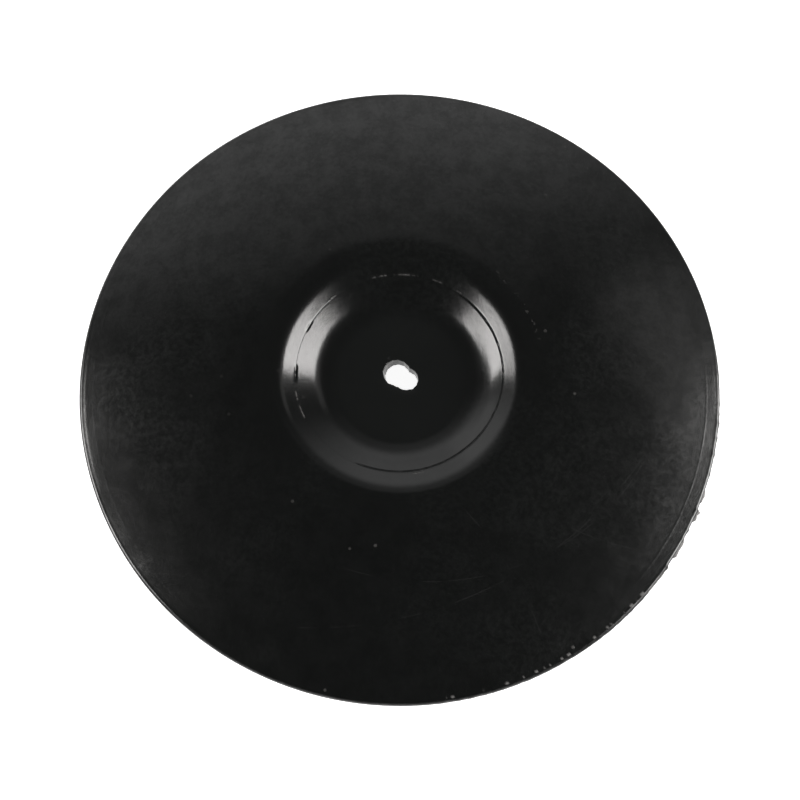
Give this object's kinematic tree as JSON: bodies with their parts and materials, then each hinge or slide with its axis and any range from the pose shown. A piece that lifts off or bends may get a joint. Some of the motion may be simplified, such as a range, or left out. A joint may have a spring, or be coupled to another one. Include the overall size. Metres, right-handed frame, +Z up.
{
  "type": "sink plunger cup",
  "caption": "Shallow black rubber plunger cup with a sunken handle seat, a central screw hole and a flat sealing lip.",
  "frame": {"origin": "centre of the cup on the plane that the lip rests on", "axes": "+Z up the cup's axis, from the lip to the handle seat; +X to the right and +Y away, seen from the front"},
  "size_m": [0.1, 0.1, 0.0089],
  "materials": {
    "black_rubber": "moulded satin black with a faint grey bloom, fine dust and a few scratches"
  },
  "bodies": {
    "lip": {"sealing_lip": "black_rubber"},
    "web_outer": {"flex_web_1": "black_rubber"},
    "web_middle": {"flex_web_2": "black_rubber"},
    "web_inner": {"flex_web_3": "black_rubber"},
    "hub": {"flex_web_4": "black_rubber", "crown_ring": "black_rubber"},
    "seat": {"seat_wall": "black_rubber", "seat_floor": "black_rubber"}
  },
  "joints": [
    {"name": "press", "type": "slide", "parent": "lip", "child": "hub", "axis": [0, 0, -1], "range_m": [-0.002, 0.0018], "stiffness_N_per_m": 1500},
    {"name": "web_outer_bend", "type": "slide", "parent": "lip", "child": "web_outer", "axis": [0, 0, -1], "range_m": [-0.00053, 0.00048], "stiffness_N_per_m": 200},
    {"name": "web_middle_bend", "type": "slide", "parent": "lip", "child": "web_middle", "axis": [0, 0, -1], "range_m": [-0.00147, 0.00132], "stiffness_N_per_m": 200},
    {"name": "web_inner_bend", "type": "slide", "parent": "lip", "child": "web_inner", "axis": [0, 0, -1], "range_m": [-0.00197, 0.00177], "stiffness_N_per_m": 200},
    {"name": "lean", "type": "hinge", "parent": "hub", "child": "seat", "pos_m": [0, 0, 0.0062], "axis": [1, 0, 0], "range_deg": [-4, 4], "stiffness_Nm_per_rad": 0.5}
  ],
  "couplings": [
    {"joint": "web_outer_bend", "follows": "press", "ratio": 0.26},
    {"joint": "web_middle_bend", "follows": "press", "ratio": 0.73},
    {"joint": "web_inner_bend", "follows": "press", "ratio": 0.98}
  ]
}
